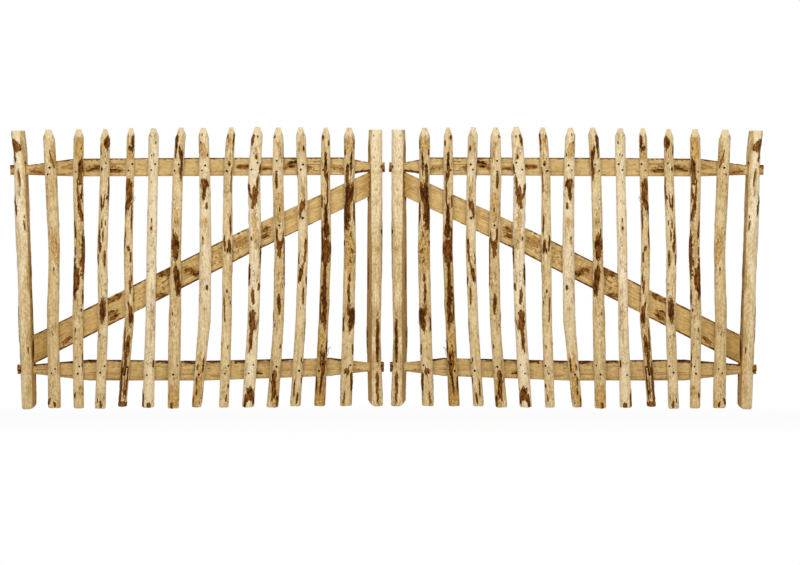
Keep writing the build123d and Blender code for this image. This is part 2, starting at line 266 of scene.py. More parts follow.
def woodMaterial(kind):
    look = {**woodBase, **woodLooks[kind]}
    material, tree = newMaterial(kind + "Wood")

    def field(label):
        return put(tree, "ShaderNodeAttribute", attribute_name=label).outputs["Fac"]

    def over(factor, below, tone):      # lays one of the look's colours, or a socket, over what is below
        return blendColour(tree, factor, below, paint(look[tone]) if isinstance(tone, str) else tone)

    space = put(tree, "ShaderNodeAttribute", attribute_name="poleSpace").outputs["Vector"]
    mottle, grit, streak, fleck, ragged, grain, winding, patches, scales = [
        noise(tree, space, drawn, look[name + "Pitch"], *rest)
        for name, (drawn, *rest) in woodTextures.items()]
    stainEdge = vary(tree, vary(tree, field("amber"), mottle, 2.6), ragged, 1.3)
    isStain = step(tree, stainEdge, -0.1, 0.4)
    rim = vary(tree, field("barkField"), ragged, look["ragged"])

    # bare wood from pale to dark, with flecks and grain lines
    shade = vary(tree, field("tone"), mottle, look["mottleDepth"])
    shade = vary(tree, shade, grit, look["gritDepth"])
    shade = vary(tree, shade, streak, look["streakDepth"])
    colour = ramp(tree, shade, look["toneStops"], look["tones"])
    speckWhere = step(tree, mottle, 0.36, 0.56, 0.25, look["fleckShare"])
    specks = times(tree, step(tree, fleck, 0.63, 0.68), speckWhere)
    colour = over(specks, colour, "fleck")
    grainWhere = step(tree, mottle, 0.42, 0.58, 0.0, look["grainShare"])
    colour = over(times(tree, nearLine(tree, grain, 0.5, 0.006, 0.028), grainWhere), colour, "fleck")

    # hewn faces and end grain
    fromPith = put(tree, "ShaderNodeVectorMath", {0: stretch(tree, space, (1, 1, 0))},
                   operation="LENGTH").outputs["Value"]
    wobble = calc(tree, "MULTIPLY_ADD", mottle, 0.012, fromPith)
    rings = calc(tree, "SINE", times(tree, wobble, 2 * math.pi / look["ringWidth"]))
    endFace = over(step(tree, rings, -0.2, 0.9), paint(look["cut"]), "rings")
    isHewn = times(tree, step(tree, field("hewn"), 0.4, 0.6), 0.5)
    colour = over(isHewn, colour, over(specks, paint(look["cut"]), "rings"))
    facet = calc(tree, "ABSOLUTE", calc(tree, "MULTIPLY_ADD", field("hewn"), 2.0, -1.0))
    facetEdge = calc(tree, "SUBTRACT", 1.0, facet)
    colour = over(step(tree, facetEdge, 0.2, 0.9, 0.0, 0.55), colour, "amberDark")
    colour = over(step(tree, field("endGrain"), 0.3, 0.7), colour, endFace)

    # amber stain under the bark
    stain = over(step(tree, grit, 0.4, 0.64), paint(look["amber"]), "amberDark")
    colour = over(times(tree, isStain, look["stainShare"]), colour, stain)
    colour = over(nearLine(tree, stainEdge, 0.08, 0.02, 0.1, 0.45), colour, "line")

    # thin brown scribbles where the inner bark clung
    where = step(tree, patches, 0.52, 0.6, 0.0, look["scribbleWild"])
    where = most(tree, where, times(tree, isStain, 0.7))
    where = most(tree, where, field("lines"))
    where = most(tree, where, step(tree, rim, -0.9, -0.2, 0.0, 0.9))
    where = times(tree, where, look["scribbleShare"])
    colour = over(times(tree, nearLine(tree, winding, 0.5, 0.015, 0.045), where), colour, "line")

    colour = over(step(tree, field("knot"), -0.25, 0.35, 0.0, 0.95), colour, "knot")

    # bark, with a stained rim and a dark outline
    colour = over(step(tree, rim, -0.42, -0.16, 0.0, 0.55), colour, stain)
    isBark = step(tree, rim, -0.16, -0.1)
    # deep marks darken the bark, and where they are laid in a gap or under a rail's end they are painted
    # shadow
    barkShade = calc(tree, "MULTIPLY_ADD", field("deepBarkAndShadow"), 0.2, step(tree, scales, 0.36, 0.64, 0.16, 0.78))
    barkShade = vary(tree, barkShade, mottle, 0.5)
    barkShade = calc(tree, "ADD", barkShade, step(tree, rim, -0.1, 0.25, 0.22, 0.0))
    colour = over(isBark, colour, ramp(tree, barkShade, look["barkStops"], look["bark"]))
    # real splits are painted dark, and so is the gap where the brace's foot meets the stile, as painted
    # shadow
    splitAndGapShadow = step(tree, field("groove"), 0.1, 0.5)
    colour = blendColour(tree, splitAndGapShadow, colour, paint(look["bark"][-1]))

    height = calc(tree, "MULTIPLY_ADD", scales, times(tree, isBark, 1.2), times(tree, streak, 0.8))
    height = calc(tree, "MULTIPLY_ADD", fleck, -0.25, height)
    bump = put(tree, "ShaderNodeBump", {
        "Strength": look["bumpStrength"], "Distance": look["bumpDepth"], "Height": height}).outputs[0]
    rough = step(tree, isBark, 0.0, 1.0, look["bareRough"], look["barkRough"])
    endShader(tree, put(tree, "ShaderNodeBsdfPrincipled", {
        "Base Color": colour, "Normal": bump, "Roughness": rough,
        "Specular IOR Level": look["gloss"]}).outputs[0])
    return material


woodMaterials = {kind: woodMaterial(kind) for kind in woodLooks}
print("wood materials:", len(woodMaterials))

# Plain finishes: steel of the nails and the hinge fittings, loose bast
plainBump = {"Strength": 0.2, "Distance": 0.0006}
plainLooks = {
    "nailSteel": {"clean": (26, 14, 5), "worn": (12, 6, 2),
                  "metal": 0.0, "rough": 1.0, "gloss": 0.0, "grain": 900.0},
    "hingeSteel": {"clean": (168, 170, 170), "worn": (132, 134, 134),
                   "metal": 0.8, "rough": 0.48, "gloss": 0.5, "grain": 160.0},
    "bast": {"clean": (128, 96, 62), "worn": (74, 46, 22),
             "metal": 0.0, "rough": 0.9, "gloss": 0.1, "grain": 300.0},
}


def plainMaterial(name, look):
    material, tree = newMaterial(name)
    place = put(tree, "ShaderNodeTexCoord").outputs["Object"]
    spangle = noise(tree, place, 1.0, look["grain"], 3.0, 0.6)
    colour = blendColour(tree, step(tree, spangle, 0.35, 0.65), paint(look["clean"]), paint(look["worn"]))
    bump = put(tree, "ShaderNodeBump", {**plainBump, "Height": spangle}).outputs[0]
    endShader(tree, put(tree, "ShaderNodeBsdfPrincipled", {
        "Base Color": colour, "Metallic": look["metal"], "Roughness": look["rough"], "Normal": bump,
        "Specular IOR Level": look["gloss"]}).outputs[0])
    return material


plainMaterials = {name: plainMaterial(name, look) for name, look in plainLooks.items()}
print("plain materials:", len(plainMaterials))

# Skin of a pole: sway, fibre, bark, knots and splits as relief
skinSockets = (
    ("Sway", "Float", 0.001), ("Sway Pitch", "Float", 14.0), ("Lump", "Float", 0.0008),
    ("Lump Pitch", "Float", 48.0), ("Fibre Depth", "Float", 0.0003), ("Fibre Pitch", "Float", 150.0),
    ("Bark Thickness", "Float", 0.0012), ("Ragged", "Float", 2.2), ("Wild Bark", "Float", 1.0),
    ("Knot Rise", "Float", 0.002), ("Split Depth", "Float", 0.002), ("Seed", "Float", 1.0),
    ("Material", "Material", None),
)


def skinTree():
    tree, given = newTree("poleSkin", skinSockets)

    def field(label):
        return pointField(tree, label)

    away = put(tree, "ShaderNodeCombineXYZ", {
        i: times(tree, given["Seed"], pace) for i, pace in enumerate((3.17, 1.73, 5.41))}).outputs[0]
    space = put(tree, "ShaderNodeVectorMath", {0: pointField(tree, "poleSpace", "FLOAT_VECTOR"), 1: away},
                operation="ADD").outputs[0]
    sway = noise(tree, space, 0.6, given["Sway Pitch"], 1.0)
    fibre = noise(tree, space, 0.05, given["Fibre Pitch"], 2.0)
    lump = noise(tree, space, 0.5, given["Lump Pitch"], 2.0)
    ragged = noise(tree, space, 0.28, 95.0, 3.0, 0.6)
    patch = noise(tree, space, 0.22, 26.0, 2.0, 0.5)

    # bark where it is marked, and by chance on the backs and edges, never on hewn faces
    wildShare = times(tree, field("wild"), given["Wild Bark"])
    wildField = times(tree, calc(tree, "SUBTRACT", patch, 0.56), 7.0)
    wildField = calc(tree, "SUBTRACT", wildField, calc(tree, "SUBTRACT", 2.0, times(tree, wildShare, 2.0)))
    barkField = most(tree, vary(tree, field("bark"), ragged, given["Ragged"]), wildField)
    barkField = calc(tree, "SUBTRACT", barkField, times(tree, field("hewn"), 3.0))
    barkField = most(tree, calc(tree, "MINIMUM", barkField, 1.0), -1.0)
    isBark = step(tree, barkField, -0.18, 0.0)

    lift = 0.0
    for texture, depth in ((sway, "Sway"), (fibre, "Fibre Depth"), (lump, "Lump")):
        lift = vary(tree, lift, texture, times(tree, given[depth], 2.0))
    thick = times(tree, given["Bark Thickness"], calc(tree, "ADD", ragged, 0.5))
    lift = calc(tree, "MULTIPLY_ADD", isBark, thick, lift)
    lift = calc(tree, "MULTIPLY_ADD", step(tree, field("knot"), -0.6, 0.9), given["Knot Rise"], lift)
    groove = times(tree, step(tree, field("groove"), 0.0, 0.5), given["Split Depth"])
    lift = times(tree, calc(tree, "SUBTRACT", lift, groove), field("free"))
    normal = put(tree, "GeometryNodeInputNormal").outputs[0]
    offset = put(tree, "ShaderNodeVectorMath", {0: normal, "Scale": lift}, operation="SCALE").outputs[0]
    kept = put(tree, "GeometryNodeStoreNamedAttribute", {
        "Geometry": given["Geometry"], "Name": "barkField", "Value": barkField},
        data_type="FLOAT", domain="POINT").outputs[0]
    moved = put(tree, "GeometryNodeSetPosition", {"Geometry": kept, "Offset": offset}).outputs[0]
    endTree(tree, moved, given["Material"])
    return tree


poleSkin = skinTree()

# Reading a solid: its middle line and its outline across the length
outline = {"weld": 1e-6, "frontPull": 0.5, "castFrom": 0.2, "hewnTilt": 0.2, "flatTilt": 0.997}


def solidTree(name):
    shell = bmesh.new()
    shell.from_mesh(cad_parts[name].data)
    bmesh.ops.remove_doubles(shell, verts=shell.verts, dist=outline["weld"])
    tree = BVHTree.FromBMesh(shell)
    shell.free()
    return tree


def sectionMiddle(tree, guess, ways, reach):
    middle = guess.copy()
    for way in ways * 2:
        near = tree.ray_cast(middle - way * reach, way)[0]
        far = tree.ray_cast(middle + way * reach, -way)[0]
        if near and far:
            middle += way * ((near + far) / 2 - middle).dot(way)
    return middle


def runningMedian(values, window):      # closes mortises and bolt holes along the length
    if window < 3:
        return values
    half = window // 2
    padded = np.concatenate([values[:1].repeat(half, 0), values, values[-1:].repeat(half, 0)])
    stack = np.stack([padded[i:i + len(values)] for i in range(window)])
    return np.nanmedian(stack, axis=0)


def evenOutline(points, flags, count):  # the same number of points on each section, closer at the front
    closed = np.vstack([points, points[:1]])
    marks = np.vstack([flags, flags[:1]])
    run = np.concatenate([[0], np.cumsum(np.linalg.norm(np.diff(closed, axis=0), axis=1))])
    turn = np.linspace(0, 1, count, endpoint=False)
    at = run[-1] * (turn - outline["frontPull"] * np.sin(2 * math.pi * turn) / (2 * math.pi))
    ring = np.column_stack([np.interp(at, run, closed[:, k]) for k in range(3)])
    return ring, np.column_stack([np.interp(at, run, marks[:, k]) for k in range(marks.shape[1])])


def readPole(name, stations, along, sizes, flat=depthWay):
    tree = solidTree(name)
    low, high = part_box(name)
    axis = along.to_tuple().index(1)
    ways = (acrossWay if axis == 2 else upWay, depthWay)
    rays, window = sizes["rays"], sizes.get("window", 1)
    reach = 2 * max((high - low)[i] for i in range(3) if i != axis)
    middles = []
    guess = (low + high) / 2
    for station in stations:            # each middle is looked for near the one before
        guess[axis] = station
        guess = sectionMiddle(tree, guess, ways, reach)
        middles.append(guess.copy())
    middles = runningMedian(np.array(middles), window)
    middles[:, axis] = stations
    turns = np.linspace(0, 2 * math.pi, rays, endpoint=False)
    spokes = np.array([(-ways[1] * math.cos(a) + ways[0] * math.sin(a)).to_tuple() for a in turns])
    radii = np.full((len(stations), rays), np.nan)
    facing = np.zeros((len(stations), rays, 3))
    for i, middle in enumerate(middles):
        for j, spoke in enumerate(spokes):
            way = Vector(spoke)
            hit, normal, face, far = tree.ray_cast(Vector(middle) + way * outline["castFrom"], -way)
            if hit:
                radii[i, j] = outline["castFrom"] - far
                facing[i, j] = normal
    radii = runningMedian(radii, window)
    for row in radii:                   # spokes that met nothing take their neighbours' length
        met = ~np.isnan(row)
        row[~met] = np.interp(turns[~met], turns[met], row[met], period=2 * math.pi)
    hewn = runningMedian((facing @ np.array(along) > outline["hewnTilt"]).astype(float), window)
    sawn = runningMedian((facing @ np.array(flat) > outline["flatTilt"]).astype(float), window)
    rings, flags = [], []
    for i, middle in enumerate(middles):
        points = middle + spokes * radii[i][:, None]
        ring, marks = evenOutline(points, np.column_stack([hewn[i], sawn[i]]), sizes["around"])
        rings.append(ring)
        flags.append(marks)
    return np.array(rings), np.array(flags), middles


footSteps = (0, 0.06, 0.2, 0.5, 1)      # shares of the worn rounding at a foot


def uprightStations(low, high, sizes):  # closer together at the worn foot and the hewn top
    lip = sizes["lip"]
    shoulder = high.z - sizes["pointLength"]
    worn = low.z + lip + sizes["footRound"] * np.array(footSteps)
    lower = np.linspace(worn[-1], shoulder, round((shoulder - low.z) / sizes["ringStep"]))
    upper = np.linspace(shoulder, high.z - lip, round(sizes["pointLength"] / sizes["pointStep"]))
    return np.concatenate([worn[:-1], lower, upper[1:]])


def roundFoot(rings, middles, reach):   # wears the lower edge round
    rise = np.clip((rings[:, :, 2] - rings[0, 0, 2]) / reach, 0, 1)
    inset = reach * (1 - np.sqrt(1 - (1 - rise) ** 2))
    away = (rings - middles[:, None]) * (1, 1, 0)
    rings -= away * (inset / np.linalg.norm(away, axis=2))[..., None]


def acrossShare(rings, middles, axis):  # -1 at one edge of the pole, 1 at the other
    away = rings[:, :, axis] - middles[:, None, axis]
    return (away / np.abs(away).max(axis=1)[:, None]).ravel()


def onFrontHalf(rings, middles):
    return (rings[..., 1] < middles[:, None, 1]).ravel()


def readUpright(part, sizes, flat=depthWay):   # also each point's side, -1 to 1, and height, 0 to 1
    low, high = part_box("left_" + part)
    stations = uprightStations(low, high, sizes)
    rings, flags, middles = readPole("left_" + part, stations, upWay, sizes, flat)
    roundFoot(rings, middles, sizes["footRound"])
    height = (rings[..., 2].ravel() - low.z) / (high.z - low.z)
    return rings, flags, middles, acrossShare(rings, middles, 0), height


# Marks on a pole, by kind: (start, end, side at start, side at end, half width). Start and end are
# photo rows on uprights and photo columns on rails and braces, side runs from -1 to 1.
def markField(along, side, marks, kinds):
    field = np.full(along.shape, -1.0)
    for start, end, sideStart, sideEnd, half in sum((marks.get(kind, ()) for kind in kinds), ()):
        share = (along - start) / (end - start)
        across = (side - (sideStart + (sideEnd - sideStart) * np.clip(share, 0, 1))) / half
        field = np.maximum(field, 1 - np.sqrt(across ** 2 + np.abs(2 * share - 1) ** 3))
    return field


def poleFields(rings, flags, middles, axis, side, marks, tone, front, wild, offset):
    flat = rings.reshape(-1, 3)
    along = columnOf(flat[:, 0]) if axis == 0 else rowOf(flat[:, 2])
    space = flat - np.repeat(middles, rings.shape[1], axis=0)
    if axis == 0:
        space = np.column_stack([space[:, 1], space[:, 2], flat[:, 0]])
    else:
        space[:, 2] = flat[:, 2]
    space[:, 2] += offset

    def marked(*kinds):
        return np.where(front, markField(along, side, marks, kinds), -1.0)

    return {
        "poleSpace": space,
        "bark": marked("bark", "deepBarkAndShadow"),
        "deepBarkAndShadow": np.clip(marked("deepBarkAndShadow") * 3, 0, 1),
        "amber": marked("amber"),
        "knot": marked("knot"),
        "groove": marked("splitAndShadowGap"),
        "lines": np.clip(marked("lines") * 3, 0, 1),
        "tone": tone,
        "wild": wild,
        "hewn": flags[..., 0].ravel(),
        "free": np.ones(len(flat)),
    }


def setField(mesh, label, values):      # a number, or a place, for each point
    kind, key = ("FLOAT_VECTOR", "vector") if values.ndim == 2 else ("FLOAT", "value")
    mesh.attributes.new(label, kind, "POINT").data.foreach_set(key, values.astype(np.float32).ravel())


capShares = (0.93, 0.62, 0.3)           # rings that close an end


def poleMesh(name, rings, fields):
    rows, count = rings.shape[:2]
    places = [rings.reshape(-1, 3)]
    total = rows * count
    turn = np.arange(count)
    nextTurn = (turn + 1) % count

    def band(first, second):
        return np.column_stack([first + turn, first + nextTurn, second + nextTurn, second + turn]).tolist()

    faces = []
    for row in range(rows - 1):
        faces += band(row * count, (row + 1) * count)
    capOwner = []
    for end, start in ((0, 0), (-1, (rows - 1) * count)):
        ring = rings[end]
        middle = ring.mean(axis=0)
        edge = start
        for share in capShares:
            places.append(middle + (ring - middle) * share)
            faces += band(edge, total)
            edge = total
            total += count
            capOwner += (start + turn).tolist()
        places.append(middle[None])
        faces += np.column_stack([edge + turn, edge + nextTurn, np.full(count, total)]).tolist()
        capOwner.append(start)
        total += 1
    mesh = bpy.data.meshes.new(name)
    mesh.from_pydata(np.vstack(places).tolist(), [], faces)
    shell = bmesh.new()
    shell.from_mesh(mesh)
    bmesh.ops.recalc_face_normals(shell, faces=shell.faces)
    shell.to_mesh(mesh)
    shell.free()
    for label, values in fields.items():
        setField(mesh, label, np.concatenate([values, values[capOwner]]))
    setField(mesh, "endGrain", np.concatenate([np.zeros(rows * count), np.ones(len(capOwner))]))
    return addObject(name, mesh)


def mirrored(piece):                    # the right leaf is the left one turned over
    name = piece.name.replace("left", "right", 1)
    mesh = piece.data.copy()
    mesh.name = name
    places = np.empty(len(mesh.vertices) * 3, np.float32)
    mesh.vertices.foreach_get("co", places)
    places = places.reshape(-1, 3)
    places[:, 0] = 2 * gateMiddle - places[:, 0]
    mesh.vertices.foreach_set("co", places.ravel())
    mesh.flip_normals()
    mesh.update()
    return addObject(name, mesh)


def settlePair(piece, part=None):
    for side, each in (("left", piece), ("right", mirrored(piece))):
        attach(each, side + "_leaf")
        if part:
            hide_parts(f"{side}_{part}")


sharpAngle = 16


def finishPole(piece, wood, skin, seed, part):
    grow(piece, poleSkin, dict(skin, Seed=seed, Material=woodMaterials[wood]))
    mesh = piece.data
    mesh.polygons.foreach_set("use_smooth", np.ones(len(mesh.polygons), bool))
    mesh.set_sharp_from_angle(angle=math.radians(sharpAngle))
    settlePair(piece, part)
    return piece


# Pales. Tones are the wood's darkness at the foot, the middle and the tip.
pales = {
    "count": 13, "ringStep": 0.0045, "pointStep": 0.002, "pointLength": 0.045, "around": 44, "rays": 96,
    "footRound": 0.007, "lip": 0.0003, "cleftTone": 0.15, "cleftBark": 0.2, "cleftRelief": 0.35,
    "edgeFrom": 0.94, "edgeBark": 0.85, "grainShift": 1.9,
    "toneHeights": (0, 0.5, 1),
    "skin": {"Sway": 0.0016, "Sway Pitch": 13.0, "Bark Thickness": 0.0014,
             "Lump": 0.001, "Wild Bark": 0.75},
    "tones": {1: (0.5, 0.52, 0.5), 2: (0.5, 0.45, 0.5), 3: (0.4, 0.38, 0.4), 4: (0.55, 0.5, 0.45),
              5: (0.3, 0.12, 0.2), 6: (0.5, 0.48, 0.35), 7: (0.5, 0.16, 0.3), 8: (0.48, 0.44, 0.42),
              9: (0.25, 0.1, 0.2), 10: (0.55, 0.46, 0.36), 11: (0.5, 0.38, 0.32),
              12: (0.95, 0.62, 0.45), 13: (0.45, 0.5, 0.45)},
}
paleMarks = {
    1: {
        "bark": ((152, 167, 0.1, 0.6, 0.13), (398, 406, -0.7, -0.8, 0.18)),
        "deepBarkAndShadow": ((401, 407, 0.05, 0.15, 0.18),),
        "amber": ((145, 166, 0.35, 0.6, 0.55), (232, 268, 0.3, 0.3, 0.5), (272, 276, 0.0, 0.0, 0.18),
            (400, 408, 0.55, 0.65, 0.3)),
        "lines": ((150, 168, 0.2, 0.6, 0.6),),
        "knot": ((267, 271.5, 0.05, 0.05, 0.14),)},
    2: {
        "bark": ((157, 184, 0.55, 0.4, 0.36), (194, 212, 0.35, 0.4, 0.13), (206, 221, 0.3, 0.65, 0.28),
            (186, 202, 0.75, 0.7, 0.12), (221, 238, -0.75, -0.5, 0.17), (236, 276, 0.75, 0.62, 0.34),
            (246, 256, -0.75, -0.65, 0.15), (259, 298, -0.75, -0.6, 0.28),
            (270, 292, -0.2, -0.5, 0.42), (288, 305, 0.82, 0.82, 0.12), (393, 399, -0.62, -0.62, 0.15)),
        "deepBarkAndShadow": ((146, 150, 0.57, 0.57, 0.12), (183, 213, -0.05, 0.1, 0.17),
            (281, 298, -0.78, -0.75, 0.2), (353, 370, 0.8, 0.78, 0.1)),
        "amber": ((138, 162, 0.0, 0.0, 1.1), (232, 246, -0.2, 0.0, 0.4), (386, 396, 0.5, 0.5, 0.3)),
        "lines": ((332, 342, -0.3, -0.35, 0.2),),
        "knot": ((308, 312, 0.6, 0.65, 0.15), (327, 333, -0.35, -0.35, 0.12))},
    3: {
        "bark": ((136, 149, 0.55, 0.6, 0.36), (139, 147, 0.15, 0.25, 0.32),
            (147, 156, -0.75, -0.7, 0.14), (176, 202, 0.85, 0.8, 0.13), (195, 212, -0.55, -0.3, 0.15),
            (194, 208, 0.1, -0.05, 0.13), (195, 200, 0.55, 0.55, 0.12), (220, 228, -0.25, -0.25, 0.14),
            (224, 252, -0.6, -0.5, 0.2), (243, 254, -0.3, -0.3, 0.14), (230, 240, 0.1, 0.05, 0.12),
            (251, 268, 0.5, 0.45, 0.18), (255, 265, -0.8, -0.75, 0.14)),
        "deepBarkAndShadow": ((300, 322, 0.0, -0.05, 0.56), (401, 408, 0.15, 0.2, 0.25)),
        "amber": ((143, 148, -0.5, -0.45, 0.3), (286, 298, -0.25, -0.25, 0.16)),
        "knot": ((166, 172, -0.55, -0.55, 0.16), (220, 226, 0.45, 0.45, 0.12),
            (333, 337, -0.5, -0.5, 0.12), (398, 403, -0.5, -0.5, 0.12))},
    4: {
        "bark": ((180, 208, -0.1, -0.05, 0.64), (246, 252, 0.0, 0.35, 0.28),
            (249, 262, 0.45, 0.5, 0.2), (274, 282, 0.6, 0.6, 0.13), (280, 294, 0.35, 0.35, 0.25),
            (302, 314, -0.1, 0.2, 0.2), (327, 350, -0.62, -0.55, 0.17), (338, 352, 0.2, 0.15, 0.45),
            (376, 400, 0.1, 0.1, 0.14), (401, 409, 0.0, 0.0, 0.9)),
        "deepBarkAndShadow": ((132, 137, -0.52, -0.5, 0.14), (132, 151, 0.52, 0.5, 0.26),
            (146, 151, -0.1, 0.2, 0.55), (200, 215, -0.7, -0.72, 0.2), (198, 231, 0.62, 0.62, 0.13),
            (228, 250, -0.75, -0.72, 0.12), (308, 326, 0.35, 0.42, 0.34), (340, 348, 0.25, 0.2, 0.25),
            (350, 378, -0.1, -0.1, 0.3), (360, 407, -0.62, -0.66, 0.28), (366, 400, 0.65, 0.52, 0.18)),
        "amber": ((150, 160, 0.0, 0.0, 0.9), (290, 306, -0.15, -0.05, 0.3)),
        "lines": ((141, 150, -0.1, 0.1, 0.5), (258, 274, 0.0, -0.1, 0.6), (380, 402, 0.05, 0.05, 0.6))},
    5: {
        "bark": ((361, 367, 0.7, 0.72, 0.12), (403, 409, 0.1, 0.2, 0.34)),
        "deepBarkAndShadow": ((218, 222, -0.05, -0.05, 0.13), (226, 230, -0.12, -0.1, 0.13),
            (391, 407, -0.92, -0.85, 0.17)),
        "amber": ((218, 232, 0.0, 0.05, 0.3),),
        "lines": ((152, 159, -0.35, 0.25, 0.4), (360, 376, 0.7, 0.6, 0.25)),
        "knot": ((140.5, 144.5, 0.45, 0.47, 0.14), (154, 157, -0.3, -0.2, 0.12),
            (153, 156, 0.1, 0.2, 0.12))},
    6: {
        "bark": ((148, 158, -0.65, -0.6, 0.14), (152, 178, 0.5, 0.64, 0.22),
            (228, 237, -0.55, -0.55, 0.14)),
        "deepBarkAndShadow": ((133, 150, -0.6, -0.6, 0.24), (146, 158, -0.05, 0.35, 0.24),
            (235, 260, -0.05, -0.1, 0.64), (266, 294, 0.05, 0.5, 0.46), (403, 409, -0.3, -0.28, 0.2)),
        "amber": ((208, 222, -0.15, -0.1, 0.35), (344, 348, -0.2, -0.2, 0.16),
            (384, 412, 0.0, 0.0, 0.9)),
        "lines": ((130, 138, -0.4, -0.4, 0.3), (208, 240, 0.0, 0.0, 0.6), (318, 330, 0.0, 0.0, 0.5)),
        "knot": ((312, 316, -0.35, -0.35, 0.12),)},
    7: {
        "bark": ((179, 189, -0.05, 0.1, 0.64), (184, 200, 0.05, -0.3, 0.3), (203, 209, 0.25, 0.3, 0.2),
            (358, 373, 0.52, 0.55, 0.15), (364, 370, -0.4, -0.4, 0.14), (377, 386, -0.4, -0.4, 0.17),
            (388, 395, -0.25, -0.25, 0.15), (396, 407, -0.72, -0.68, 0.15)),
        "amber": ((143, 159, -0.1, 0.0, 0.8), (218, 227, 0.0, 0.0, 0.28),
            (237, 246, -0.4, -0.38, 0.26), (357, 411, 0.0, 0.0, 0.85)),
        "lines": ((126, 130, -0.2, -0.2, 0.3), (205, 213, 0.1, 0.25, 0.35),
            (293, 298, -0.5, -0.4, 0.3)),
        "knot": ((133, 136, -0.25, -0.25, 0.14), (141, 144, -0.52, -0.5, 0.12),
            (153, 157, 0.62, 0.65, 0.12), (236, 240, -0.38, -0.38, 0.14),
            (284.5, 290.5, 0.34, 0.34, 0.24))},
    8: {
        "bark": ((132, 138, -0.58, -0.58, 0.14), (161, 166, 0.08, 0.08, 0.2),
            (215, 234, 0.5, 0.62, 0.15), (248, 253, 0.0, 0.0, 0.15), (296, 305, -0.55, -0.5, 0.13),
            (306, 322, -0.45, -0.4, 0.13), (395, 402, 0.4, 0.4, 0.12)),
        "deepBarkAndShadow": ((131, 150, 0.7, 0.68, 0.13), (170, 193, 0.7, 0.66, 0.11),
            (236, 254, -0.62, -0.4, 0.17), (240, 253, 0.35, 0.45, 0.27), (384, 388, 0.72, 0.72, 0.14)),
        "amber": ((138, 148, 0.0, 0.0, 0.5), (152, 164, 0.3, 0.2, 0.3), (294, 324, -0.45, -0.35, 0.25),
            (390, 396, -0.45, -0.45, 0.25)),
        "knot": ((289, 293.5, 0.0, 0.0, 0.2), (300, 305, 0.65, 0.65, 0.12),
            (345, 349, 0.37, 0.37, 0.12))},
    9: {
        "bark": ((132, 146, -0.45, -0.8, 0.24), (154, 159, 0.1, 0.15, 0.14),
            (164, 174, 0.87, 0.87, 0.1), (176, 192, 0.55, 0.4, 0.15), (188, 206, 0.15, -0.05, 0.45),
            (184, 196, -0.9, -0.7, 0.17), (196, 208, -0.1, -0.25, 0.3), (246, 268, 0.87, 0.82, 0.11),
            (283, 290, 0.72, 0.74, 0.14), (288, 304, -0.35, -0.1, 0.24), (311, 330, -0.1, -0.05, 0.56),
            (324, 350, -0.2, -0.15, 0.24), (388, 400, 0.2, 0.2, 0.52), (392, 404, 0.72, 0.76, 0.16)),
        "deepBarkAndShadow": ((264, 284, -0.86, -0.86, 0.17), (394, 408, -0.5, -0.5, 0.18)),
        "amber": ((146, 162, -0.05, 0.55, 0.27), (204, 246, 0.1, 0.15, 0.55)),
        "lines": ((268, 284, 0.0, 0.1, 0.6),),
        "knot": ((135, 138, 0.1, 0.25, 0.14), (236, 241, -0.6, -0.55, 0.15))},
    10: {
        "bark": ((174, 188, -0.27, -0.27, 0.22), (228, 246, -0.35, -0.4, 0.17),
            (240, 256, -0.1, -0.05, 0.36), (232, 248, 0.8, 0.35, 0.15), (236, 275, 0.84, 0.84, 0.1),
            (264, 286, 0.9, 0.9, 0.09), (294, 312, -0.1, 0.15, 0.28), (372, 398, -0.1, 0.1, 0.36),
            (392, 402, 0.05, -0.2, 0.15)),
        "deepBarkAndShadow": ((134, 138, -0.62, -0.62, 0.14), (396, 408, 0.72, 0.74, 0.19)),
        "amber": ((141, 163, 0.25, 0.3, 0.35), (194, 220, 0.3, 0.3, 0.6), (378, 409, 0.2, 0.4, 0.5)),
        "lines": ((141, 163, 0.25, 0.3, 0.4), (156, 171, 0.75, 0.75, 0.25), (258, 266, 0.0, 0.0, 0.35),
            (266, 296, 0.1, 0.1, 0.8)),
        "knot": ((207, 212, 0.2, 0.2, 0.15), (323, 327, -0.62, -0.62, 0.14),
            (344, 349, 0.6, 0.6, 0.12))},
    11: {
        "bark": ((146, 151, 0.48, 0.5, 0.13), (199, 217, -0.05, -0.5, 0.3),
            (199, 209, 0.35, 0.3, 0.18), (239, 262, 0.55, 0.42, 0.21), (265, 281, 0.05, -0.5, 0.35),
            (286, 304, 0.3, 0.42, 0.15), (382, 396, -0.45, -0.4, 0.13), (391, 404, 0.3, 0.15, 0.16)),
        "deepBarkAndShadow": ((252, 264, -0.8, -0.76, 0.12), (277, 285, 0.82, 0.84, 0.11),
            (374, 383, 0.84, 0.84, 0.1)),
        "amber": ((143, 150, -0.35, -0.3, 0.24), (145, 152, 0.4, 0.5, 0.2),
            (187, 197, 0.25, 0.3, 0.25), (201, 209, -0.1, 0.2, 0.45)),
        "knot": ((216, 220, -0.15, -0.15, 0.12), (357, 363, 0.6, 0.6, 0.14))},
    12: {
        "bark": ((140, 145, 0.68, 0.68, 0.14), (172, 182, 0.35, 0.4, 0.17),
            (196, 208, -0.72, -0.7, 0.15), (288, 320, -0.7, -0.68, 0.12), (320, 331, 0.2, 0.3, 0.2)),
        "deepBarkAndShadow": ((130, 139, -0.48, -0.55, 0.2), (152, 176, -0.02, 0.05, 0.27),
            (184, 206, 0.4, 0.35, 0.2), (202, 238, 0.0, 0.05, 0.34), (222, 238, 0.1, 0.05, 0.5),
            (228, 246, -0.7, -0.68, 0.15), (240, 262, 0.0, 0.0, 0.74), (258, 290, -0.1, -0.05, 0.27),
            (284, 310, -0.05, 0.0, 0.47), (304, 324, 0.0, 0.05, 0.43), (338, 356, 0.82, 0.82, 0.11),
            (350, 366, -0.2, -0.15, 0.15), (352, 380, 0.3, 0.3, 0.31), (374, 394, 0.15, 0.0, 0.16),
            (376, 392, -0.76, -0.72, 0.15)),
